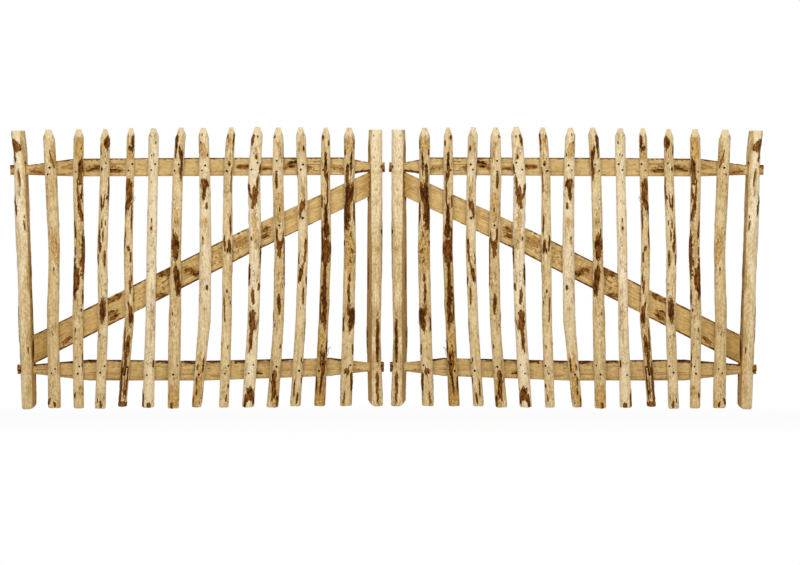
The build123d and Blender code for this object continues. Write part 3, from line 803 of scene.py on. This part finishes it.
        "amber": ((236, 242, 0.1, 0.1, 0.4), (325, 356, 0.0, 0.0, 0.95), (392, 410, 0.0, 0.0, 0.9)),
        "lines": ((394, 407, -0.1, -0.1, 0.5),),
        "knot": ((344, 348, -0.1, -0.1, 0.15),)},
    13: {
        "bark": ((149, 155, -0.76, -0.74, 0.14), (182, 196, 0.5, 0.55, 0.27),
            (231, 237, 0.3, 0.1, 0.14), (247, 253, 0.1, 0.6, 0.15), (258, 263, -0.2, 0.3, 0.16),
            (274, 281, 0.0, 0.05, 0.18), (284, 303, -0.1, 0.08, 0.19), (304, 316, -0.1, -0.1, 0.13),
            (318, 332, -0.8, -0.77, 0.13), (368.5, 373.5, -0.05, 0.1, 0.3),
            (366, 377, 0.25, -0.05, 0.12), (392, 404, -0.3, -0.35, 0.12)),
        "deepBarkAndShadow": ((139, 150, 0.8, 0.84, 0.12), (153, 176, 0.4, 0.25, 0.17),
            (164, 180, -0.3, -0.4, 0.26), (172, 192, -0.5, -0.35, 0.27), (183, 206, -0.2, -0.2, 0.6),
            (196, 229, -0.35, -0.5, 0.46), (200, 226, 0.72, 0.72, 0.12), (240, 246, -0.86, -0.84, 0.1),
            (308, 329, 0.55, 0.4, 0.47), (345, 356, 0.82, 0.84, 0.12), (374, 391, 0.77, 0.8, 0.19)),
        "amber": ((135, 154, 0.0, 0.0, 1.1), (226, 272, 0.0, 0.0, 1.0), (272, 283, 0.0, 0.0, 0.35),
            (400, 407, -0.6, -0.6, 0.2)),
        "lines": ((145, 153, 0.0, 0.0, 0.9), (226, 275, 0.0, 0.0, 1.2))},
}


def makePale(number):
    part = f"pale_{number:02d}"
    rings, flags, middles, side, height = readUpright(part, pales)
    cleft = flags[..., 1].ravel()
    isBack = cleft > 0.5
    tone = np.interp(height, pales["toneHeights"], pales["tones"][number]) + pales["cleftTone"] * cleft
    isEdge = (np.abs(side) > pales["edgeFrom"]) & ~isBack
    wild = np.where(isBack, pales["cleftBark"], 0.0) + np.where(isEdge, pales["edgeBark"], 0.0)
    fields = poleFields(rings, flags, middles, 2, side, paleMarks[number], tone, cleft < 0.5, wild,
                        pales["grainShift"] * number)
    fields["free"] = np.where(isBack, pales["cleftRelief"], 1.0)
    piece = poleMesh(f"leftPale{number:02d}", rings, fields)
    return finishPole(piece, "pale", pales["skin"], 1.0 + number, part)


leftPales = [makePale(number + 1) for number in range(pales["count"])]
print("pales:", 2 * pales["count"], "of", len(leftPales[0].data.polygons), "faces")

# Stiles. The hewn inner side is turned to the front, with painted shade darkening it and the inner part of
# the slope at its top; across the hanging stile painted shading runs darker towards its inner side.
stiles = {
    "ringStep": 0.0045, "pointStep": 0.0025, "pointLength": 0.07, "around": 52, "rays": 120, "window": 25,
    "footRound": 0.009, "lip": 0.0004, "backBark": 1.0,
    # painted shade, not wood colour: the flat, side and brow settings darken the hewn inner flat, the hanging
    # stile towards its inner side and the slope at the top
    "inward": {"hanging": 1, "meeting": -1}, "flatAngle": 22, "paintedFlatShade": 0.6,
    "skin": {"Sway": 0.0018, "Sway Pitch": 10.0, "Bark Thickness": 0.0014,
             "Lump": 0.001, "Wild Bark": 0.9},
    "seeds": {"hanging": 21.0, "meeting": 23.0}, "grainShifts": {"hanging": 31.0, "meeting": 37.0},
    "toneHeights": (0.0, 0.35, 0.65, 1.0),
    "tones": {"hanging": (0.55, 0.5, 0.2, 0.2), "meeting": (0.5, 0.5, 0.42, 0.12)},
    "paintedSideShade": {"hanging": 0.2, "meeting": 0.0},
    "browHeights": (0.85, 0.88), "browSides": {"hanging": (0.15, 0.35), "meeting": (0.6, 0.8)},
    "paintedBrowShade": {"hanging": 0.3, "meeting": 0.5},
}
stileMarks = {
    "hanging": {
        "bark": ((132, 145, -0.92, -0.8, 0.12), (140, 152, -0.5, -0.25, 0.5),
            (148, 161, -0.6, -0.66, 0.14), (170, 185, -0.2, -0.02, 0.12),
            (194, 204, -0.72, -0.82, 0.08), (205, 216.5, -0.74, -0.66, 0.12),
            # the marks at side 0.93 to 0.97, rows 270 to 345 and 372 to 406, are painted shade along the edge
            # of the shaded inner flat, laid as bark
            (221, 228, 0.28, 0.36, 0.07), (270, 345, 0.95, 0.93, 0.08), (300, 345, -0.97, -0.97, 0.09),
            (372, 406, 0.97, 0.97, 0.1)),
        # the mark at side 1.0, rows 333 to 367, is a painted shadow in the gap where the brace's foot meets
        # the stile
        "deepBarkAndShadow": ((333, 367, 1.0, 1.0, 0.14), (347, 353, 0.27, 0.25, 0.08)),
        "amber": ((166, 186, -0.4, -0.05, 0.26),),
        "knot": ((200, 204.5, -0.84, -0.82, 0.1), (215, 218.5, 0.36, 0.36, 0.09),
            (225, 230.5, 0.37, 0.37, 0.1))},
    "meeting": {
        "bark": ((373, 394, 0.24, 0.24, 0.17), (388, 405, 0.22, 0.27, 0.12),
            (140, 160, -0.95, -0.95, 0.1)),
        "deepBarkAndShadow": ((319, 361, 0.36, 0.28, 0.16),),
        "amber": ((188.5, 191.5, 0.08, 0.08, 0.11), (246, 256, 0.3, 0.3, 0.2),
            (316, 366, 0.36, 0.28, 0.22)),
        "knot": ((134, 137, -0.27, -0.25, 0.07), (229, 234, 0.72, 0.72, 0.12),
            (164.5, 168.5, 0.74, 0.74, 0.1))},
}


def makeStile(kind):
    part = kind + "_stile"
    turn = math.radians(stiles["flatAngle"])
    inward = stiles["inward"][kind]
    flatWay = Vector((inward * math.cos(turn), -math.sin(turn), 0))
    rings, flags, middles, side, height = readUpright(part, stiles, flatWay)
    front = onFrontHalf(rings, middles)
    tone = np.interp(height, stiles["toneHeights"], stiles["tones"][kind])
    # painted shade on the hewn inner flat; across the hanging stile, painted shading darker towards the inner
    # side and lighter towards the outer
    tone += stiles["paintedFlatShade"] * flags[..., 1].ravel() + stiles["paintedSideShade"][kind] * side
    # painted shade on the inner part of the slope at the top
    onBrow = np.interp(height, stiles["browHeights"], (0, 1))
    onBrow *= np.interp(inward * side, stiles["browSides"][kind], (0, 1))
    tone += stiles["paintedBrowShade"][kind] * onBrow
    wild = np.where(front, 0.0, stiles["backBark"])
    fields = poleFields(rings, flags, middles, 2, side, stileMarks[kind], tone, front, wild,
                        stiles["grainShifts"][kind])
    piece = poleMesh(f"left{kind.capitalize()}Stile", rings, fields)
    return finishPole(piece, "stile", stiles["skin"], stiles["seeds"][kind], part)


leftStiles = {kind: makeStile(kind) for kind in ("hanging", "meeting")}
print("stiles:", 2 * len(leftStiles))


# What rails and braces share: no hewn ends, bark by chance on the back alone
def beamFields(rings, middles, box, sizes, tones, marks, shift):
    low, high = box
    front = onFrontHalf(rings, middles)
    share = (rings[..., 0].ravel() - low.x) / (high.x - low.x)
    tone = np.interp(share, sizes["toneShares"], tones)
    flags = np.zeros(rings.shape[:2] + (2,))
    wild = np.where(front, 0.0, sizes["backBark"])
    side = acrossShare(rings, middles, 2)
    return poleFields(rings, flags, middles, 0, side, marks, tone, front, wild, shift)


# Rails
rails = {
    "ringStep": 0.005, "around": 44, "rays": 120, "lip": 0.0004, "backBark": 0.8,
    "skin": {"Sway": 0.0008, "Sway Pitch": 10.0, "Bark Thickness": 0.001,
             "Lump": 0.0006, "Wild Bark": 0.7},
    "seeds": {"top": 31.0, "bottom": 33.0}, "grainShifts": {"top": 41.0, "bottom": 47.0},
    "toneShares": (0, 0.5, 1),
    "tones": {"top": (0.55, 0.42, 0.3), "bottom": (0.55, 0.48, 0.5)},
}
railMarks = {
    "top": {
        "bark": ((30, 43, -0.35, -0.55, 0.15), (86, 99, -0.35, 0.0, 0.14), (94, 101, 0.1, -0.05, 0.2),
            (110, 121, -0.3, -0.4, 0.2), (237, 250, -0.05, 0.0, 0.18), (262, 271, -0.2, -0.2, 0.12),
            (284, 294, -0.15, 0.1, 0.18), (8, 13, 0.7, 0.8, 0.4), (382, 386, -0.7, -0.6, 0.5),
            (30, 120, 0.97, 0.98, 0.1), (120, 240, 0.99, 0.97, 0.09), (240, 372, 0.97, 0.98, 0.09)),
        # the mark along the lower edge at columns 346 to 372 is a painted shadow under the rail where it
        # narrows to its tenon
        "deepBarkAndShadow": ((288, 298, 0.35, 0.65, 0.22), (346, 372, -0.85, -0.75, 0.16)),
        "amber": ((26, 48, -0.3, -0.4, 0.5), (60, 72, 0.0, 0.2, 0.3), (84, 101, -0.2, -0.1, 0.45),
            (109, 122, -0.3, -0.35, 0.34), (238, 251, -0.1, 0.0, 0.4), (261, 274, -0.2, -0.15, 0.25),
            (283, 297, -0.2, 0.4, 0.4), (303, 312, -0.1, -0.2, 0.3), (330, 345, 0.0, -0.4, 0.5),
            (9, 14, 0.0, 0.0, 1.4), (381, 387, 0.0, 0.0, 1.4)),
        "lines": ((28, 46, -0.1, -0.2, 0.7), (58, 73, -0.1, 0.3, 0.4), (84, 102, -0.2, -0.1, 0.6),
            (108, 123, -0.2, -0.3, 0.6), (302, 320, -0.1, -0.2, 0.6), (330, 346, 0.0, -0.4, 0.7))},
    "bottom": {
        "bark": ((255, 263, -0.35, -0.45, 0.13), (16, 20, 0.3, -0.3, 0.6), (381, 387, 0.0, 0.0, 1.4)),
        # the marks below, at side 0.88 to 0.95, make a dark line along the top edge
        "deepBarkAndShadow": ((30, 49, 0.9, 0.88, 0.2), (58, 76, 0.94, 0.94, 0.13), (82, 99, 0.92, 0.94, 0.17),
            (108, 147, 0.95, 0.95, 0.11), (156, 171, 0.93, 0.95, 0.14), (182, 197, 0.92, 0.92, 0.17),
            (206, 223, 0.94, 0.94, 0.14), (231, 248, 0.92, 0.92, 0.17), (255, 300, 0.95, 0.95, 0.11),
            (327, 346, 0.95, 0.92, 0.13)),
        "amber": ((15, 21, 0.0, 0.0, 1.4),),
        "splitAndShadowGap": ((30, 50, 0.05, 0.0, 0.05),)},
}


def makeRail(kind):
    part = kind + "_rail"
    low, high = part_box("left_" + part)
    first, last = low.x + rails["lip"], high.x - rails["lip"]
    stations = np.linspace(first, last, round((high.x - low.x) / rails["ringStep"]))
    rings, _, middles = readPole("left_" + part, stations, acrossWay, rails)
    fields = beamFields(rings, middles, (low, high), rails, rails["tones"][kind], railMarks[kind],
                        rails["grainShifts"][kind])
    piece = poleMesh(f"left{kind.capitalize()}Rail", rings, fields)
    return finishPole(piece, "rail", rails["skin"], rails["seeds"][kind], part)


leftRails = {kind: makeRail(kind) for kind in ("top", "bottom")}
print("rails:", 2 * len(leftRails))

# Brace
brace = {
    "ringStep": 0.0055, "around": 48, "rays": 120, "endCut": 0.02, "endReach": 0.026, "endRings": 6,
    "backBark": 0.8,
    "skin": {"Sway": 0.001, "Sway Pitch": 9.0, "Bark Thickness": 0.001,
             "Lump": 0.0006, "Wild Bark": 0.7},
    "seed": 35.0, "grainShift": 53.0,
    # painted shade: the brace is darker towards both ends, where it meets the stiles
    "toneShares": (0.0, 0.04, 0.1, 0.5, 0.962, 0.99),
    "tones": (1.0, 0.9, 0.48, 0.38, 0.27, 0.85),
}
braceMarks = {
    "bark": ((62, 71, -0.58, -0.5, 0.16), (107, 121, 0.75, 0.72, 0.17), (108, 114, -0.15, -0.2, 0.14),
        (109, 118, -0.6, -0.65, 0.15), (159, 170, 0.78, 0.66, 0.2), (156, 165, -0.6, -0.8, 0.12),
        (183, 196, 0.4, -0.4, 0.12), (190, 199, -0.15, -0.6, 0.17), (262, 269, 0.3, 0.25, 0.15),
        # the full-width dark mark at columns 369 to 374 is a painted shadow where the brace meets the meeting
        # stile, laid as bark
        (259, 268, -0.1, -0.3, 0.14), (369, 374, 0.0, 0.0, 1.3), (34, 130, -0.97, -0.98, 0.07),
        (34, 110, 0.98, 0.98, 0.07), (146, 240, 0.98, 0.98, 0.06), (150, 300, -0.98, -0.98, 0.06)),
    "deepBarkAndShadow": ((128, 146, 0.98, 0.98, 0.06),),
    "amber": ((106, 119, -0.2, -0.5, 0.4), (155, 168, -0.6, -0.9, 0.24), (181, 199, 0.45, -0.45, 0.3),
        (234, 247, 0.3, 0.1, 0.4), (258, 272, 0.3, 0.0, 0.5)),
    "lines": ((106, 120, -0.3, -0.4, 0.5), (154, 172, 0.3, 0.0, 0.8), (180, 200, 0.4, -0.4, 0.6),
        (228, 249, 0.1, 0.2, 0.8), (205, 226, 0.0, 0.0, 0.8), (257, 273, 0.1, 0.1, 0.7)),
    # the full-width split at columns 31 to 33.8 is a groove in the relief, painted dark as the shadow in the
    # gap where the brace's foot meets the hanging stile
    "splitAndShadowGap": ((31, 33.8, 0.0, 0.0, 1.4),),
}


def makeBrace():
    low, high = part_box("left_brace")
    first, last = low.x + brace["endCut"], high.x - brace["endCut"]
    stations = np.linspace(first, last, round((last - first) / brace["ringStep"]))
    rings, _, middles = readPole("left_brace", stations, acrossWay, brace)
    slope = (middles[-1] - middles[0]) / (stations[-1] - stations[0])
    steps = np.linspace(brace["endReach"] / brace["endRings"], brace["endReach"], brace["endRings"])

    def runOn(line):                    # both ends run on into the stiles
        foot = [line[0] - slope * s for s in steps[::-1]]
        return np.concatenate([foot, line, [line[-1] + slope * s for s in steps]])

    rings, middles = runOn(rings), runOn(middles)
    fields = beamFields(rings, middles, (low, high), brace, brace["tones"], braceMarks, brace["grainShift"])
    grain = np.array((slope[0], 0, slope[2])) / math.hypot(slope[0], slope[2])
    rise = np.array((-grain[2], 0, grain[0]))
    flat = rings.reshape(-1, 3)
    fields["poleSpace"] = np.column_stack([flat[:, 1], flat @ rise, flat @ grain + brace["grainShift"]])
    finishPole(poleMesh("leftBrace", rings, fields), "brace", brace["skin"], brace["seed"], "brace")


makeBrace()
print("braces: 2")

# Nails, two at each crossing, set aslant. Spots are columns and rows: the two heads on the top rail,
# the two on the bottom rail and, on two pales, one on the brace.
nails = {
    "head": {"Head Width": 0.0088, "Head Rise": 0.0016, "Size Play": 0.15, "Seed": 7},
    "corners": 8, "topShare": 0.45, "castFrom": -1.0,
    "paleSpots": {
        1: ((49.5, 167.7), (47.6, 174.5), (55.1, 369.0), (51.5, 373.1)),
        2: ((79.7, 164.2), (75.6, 171.7), (79.1, 366.5), (77.7, 373.7)),
        3: ((105.9, 163.4), (101.7, 169.0), (104.3, 366.2), (100.0, 372.7)),
        4: ((132.0, 164.0), (128.4, 170.3), (126.9, 367.1), (124.4, 374.4)),
        5: ((155.0, 164.1), (151.1, 170.0), (153.0, 366.2), (146.7, 375.1)),
        6: ((178.6, 164.6), (174.5, 170.6), (177.3, 365.7), (173.3, 374.6)),
        7: ((205.1, 165.4), (201.9, 170.3), (202.8, 365.6), (198.7, 374.6)),
        8: ((229.8, 164.2), (226.7, 171.0), (228.3, 365.8), (224.7, 373.7)),
        9: ((257.5, 162.6), (251.5, 169.6), (253.3, 364.9), (248.7, 373.5)),
        10: ((276.7, 160.8), (276.7, 171.5), (276.5, 366.7), (273.5, 374.4), (279.4, 225.4)),
        11: ((303.0, 164.5), (300.8, 169.6), (302.5, 362.9), (299.1, 370.8), (303.0, 218.0)),
        12: ((325.6, 164.0), (323.0, 170.0), (322.6, 364.0), (319.0, 371.0)),
        13: ((350.5, 163.5), (346.5, 171.0), (350.3, 365.2), (345.0, 373.0))},
    "stileSpots": {"hanging": ((24.4, 162.6),)},
}
nailSockets = (
    ("Head Width", "Float", 0.0065), ("Head Rise", "Float", 0.0016), ("Size Play", "Float", 0.2),
    ("Seed", "Int", 1), ("Material", "Material", None),
)


def nailTree():
    tree, given = newTree("nailHeads", nailSockets)
    half = times(tree, given["Head Width"], 0.5)
    head = put(tree, "GeometryNodeMeshCone", {
        "Vertices": nails["corners"], "Side Segments": 1, "Radius Bottom": half,
        "Radius Top": times(tree, half, nails["topShare"]),
        "Depth": times(tree, given["Head Rise"], 2.0)}).outputs["Mesh"]
    aim = pointField(tree, "aim", "FLOAT_VECTOR")
    turn = put(tree, "FunctionNodeAlignRotationToVector", {"Vector": aim}, axis="Z").outputs[0]
    play = put(tree, "FunctionNodeRandomValue", {
        2: calc(tree, "SUBTRACT", 1.0, given["Size Play"]), 3: calc(tree, "ADD", 1.0, given["Size Play"]),
        "Seed": given["Seed"]}, data_type="FLOAT").outputs[1]
    points = put(tree, "GeometryNodeMeshToPoints", {"Mesh": given["Geometry"]}).outputs[0]
    placed = put(tree, "GeometryNodeInstanceOnPoints", {
        "Points": points, "Instance": head, "Rotation": turn, "Scale": play}).outputs[0]
    endTree(tree, placed, given["Material"])
    return tree


def onFront(piece, spots):              # where the surface is met from the front, and its normal there
    mesh = piece.data
    mesh.calc_loop_triangles()
    corners = [tuple(triangle.vertices) for triangle in mesh.loop_triangles]
    tree = BVHTree.FromPolygons([v.co.copy() for v in mesh.vertices], corners)
    starts = [Vector((xOf(column), nails["castFrom"], zOf(row))) for column, row in spots]
    casts = [tree.ray_cast(start, depthWay) for start in starts]
    return [cast[:2] for cast in casts if cast[0] is not None]


def makeNails():
    met = []
    for number, spots in nails["paleSpots"].items():
        met += onFront(leftPales[number - 1], spots)
    for kind, spots in nails["stileSpots"].items():
        met += onFront(leftStiles[kind], spots)
    mesh = bpy.data.meshes.new("leftNails")
    mesh.from_pydata([hit for hit, normal in met], [], [])
    setField(mesh, "aim", np.array([normal for hit, normal in met]))
    piece = addObject("leftNails", mesh)
    grow(piece, nailTree(), dict(nails["head"], Material=plainMaterials["nailSteel"]))
    settlePair(piece)
    return len(met)


print("nails on each leaf:", makeNails())

# Loose strands of bast beside the bark. Each has its start, middle and end column and row.
strands = {
    "width": 0.0016, "steps": 10, "corners": 5,
    "pale": {
        4: (((131.4, 203.5), (134.6, 201.0), (135.0, 197.0)),
            ((131.6, 201.0), (134.0, 199.5), (134.0, 195.5))),
        5: (((143.8, 399.0), (141.4, 402.5), (142.2, 407.0)),),
        12: (((325.8, 352.5), (328.6, 346.0), (331.3, 348.2)),
             ((325.8, 357.5), (329.2, 354.0), (328.4, 349.5)),
             ((325.8, 354.0), (328.3, 350.5), (330.0, 346.8)),
             ((325.8, 346.0), (327.8, 343.0), (328.0, 340.0))),
        13: (((352.6, 323.6), (354.5, 323.4), (356.6, 322.2)),)},
}
strandSockets = (
    ("Start", "Vector", None), ("Middle", "Vector", None), ("End", "Vector", None),
    ("Width", "Float", 0.001), ("Material", "Material", None),
)


def strandTree():
    tree, given = newTree("bastStrand", strandSockets)
    curve = put(tree, "GeometryNodeCurveQuadraticBezier", {
        "Resolution": strands["steps"], "Start": given["Start"], "Middle": given["Middle"],
        "End": given["End"]}).outputs[0]
    ring = put(tree, "GeometryNodeCurvePrimitiveCircle", {
        "Resolution": strands["corners"], "Radius": times(tree, given["Width"], 0.5)}).outputs[0]
    mesh = put(tree, "GeometryNodeCurveToMesh", {
        "Curve": curve, "Profile Curve": ring, "Fill Caps": True}).outputs[0]
    endTree(tree, mesh, given["Material"])
    return tree


def makeStrands():
    tree = strandTree()
    whole = bmesh.new()
    count = 0
    for number, curls in strands["pale"].items():
        low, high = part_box(f"left_pale_{number:02d}")
        depth = (low.y + high.y) / 2
        for curl in curls:
            start, middle, end = [(xOf(column), depth, zOf(row)) for column, row in curl]
            piece = addObject("strand", bpy.data.meshes.new("strand"))
            grow(piece, tree, {"Start": start, "Middle": middle, "End": end, "Width": strands["width"],
                               "Material": plainMaterials["bast"]})
            whole.from_mesh(piece.data)
            bpy.data.objects.remove(piece)
            count += 1
    mesh = bpy.data.meshes.new("leftStrands")
    whole.to_mesh(mesh)
    whole.free()
    mesh.materials.append(plainMaterials["bast"])
    settlePair(addObject("leftStrands", mesh))
    return count


print("loose strands on each leaf:", makeStrands())

# Hinge fittings keep their solids
for side in ("left", "right"):
    for end in ("top", "bottom"):
        for part in ("hook", "eye"):
            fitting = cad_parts[f"{side}_{end}_{part}"]
            fitting.data.materials.clear()
            fitting.data.materials.append(plainMaterials["hingeSteel"])

# Stage
stage = {
    "floorDrop": 0.05, "floorSize": 60.0, "floorColour": (0.95, 0.95, 0.95, 1), "white": (1, 1, 1, 1),
    "shadow": 0.08, "shadowReach": (0.9, 2.4), "ambient": 0.4,
}


def seenStraight(tree):                 # by the camera, in gloss or through glass
    path = put(tree, "ShaderNodeLightPath").outputs
    return most(tree, path["Is Camera Ray"], most(tree, path["Is Glossy Ray"], path["Is Transmission Ray"]))


def paleFloor():
    bpy.ops.mesh.primitive_plane_add(
        size=stage["floorSize"], location=(gateMiddle, 0, photo["ground"] - stage["floorDrop"]))
    floor = bpy.context.object
    floor.name = "paleFloor"
    material, tree = newMaterial("paleFloor")
    matt = put(tree, "ShaderNodeBsdfDiffuse", {"Color": stage["floorColour"]}).outputs[0]
    white = put(tree, "ShaderNodeEmission", {"Color": stage["white"], "Strength": 1.0}).outputs[0]
    place = stretch(tree, put(tree, "ShaderNodeTexCoord").outputs["Object"], (0.5, 1, 0))
    away = put(tree, "ShaderNodeVectorMath", {0: place}, operation="LENGTH").outputs["Value"]
    share = step(tree, away, *stage["shadowReach"], 1 - stage["shadow"], 1.0)   # white further out
    mix = put(tree, "ShaderNodeMixShader", {0: times(tree, seenStraight(tree), share), 1: matt, 2: white})
    endShader(tree, mix.outputs[0])
    floor.data.materials.append(material)


def studioWorld():
    world = bpy.data.worlds.new("studio")
    bpy.context.scene.world = world
    world.use_nodes = True
    tree = world.node_tree
    tree.nodes.clear()
    strength = calc(tree, "MULTIPLY_ADD", seenStraight(tree), 1 - stage["ambient"], stage["ambient"])
    sky = put(tree, "ShaderNodeBackground", {"Color": stage["white"], "Strength": strength}).outputs[0]
    endShader(tree, sky, "ShaderNodeOutputWorld")


lamps = {
    "leftKey": {"place": (-2.3, -3.6, 2.2), "aim": (-0.6, 0.0, 0.2), "size": 1.8, "power": 75.0},
    "rightKey": {"place": (2.3, -3.6, 2.2), "aim": (0.6, 0.0, 0.2), "size": 1.8, "power": 75.0},
    "backFill": {"place": (0.0, 4.0, 2.6), "aim": (0.0, 0.0, 0.2), "size": 3.0, "power": 70.0},
}


def addLamp(name, lamp):
    light = bpy.data.lights.new(name, "AREA")
    light.size = lamp["size"]
    light.energy = lamp["power"]
    holder = addObject(name, light)
    place, aim = Vector(lamp["place"]), Vector(lamp["aim"])
    holder.location = Vector((gateMiddle, 0, 0)) + place
    holder.rotation_euler = (aim - place).to_track_quat("-Z", "Y").to_euler()


def addCamera():
    view = bpy.data.cameras.new("photoView")
    view.sensor_width = photo["sensor"]
    view.lens = photo["sensor"] * photo["cameraDistance"] / (photo["width"] * photo["step"])
    view.clip_end = photo["clipEnd"]
    holder = addObject("photoView", view)
    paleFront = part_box("left_pale_07")[0].y
    across, up = xOf(photo["width"] / 2), zOf(photo["height"] / 2)
    holder.location = (across, paleFront - photo["cameraDistance"], up)
    holder.rotation_euler = (math.pi / 2, 0, 0)
    bpy.context.scene.camera = holder


paleFloor()
studioWorld()
for lampName, lamp in lamps.items():
    addLamp(lampName, lamp)
addCamera()
bpy.context.scene.view_settings.view_transform = "Standard"
print("stage, lamps and camera set")
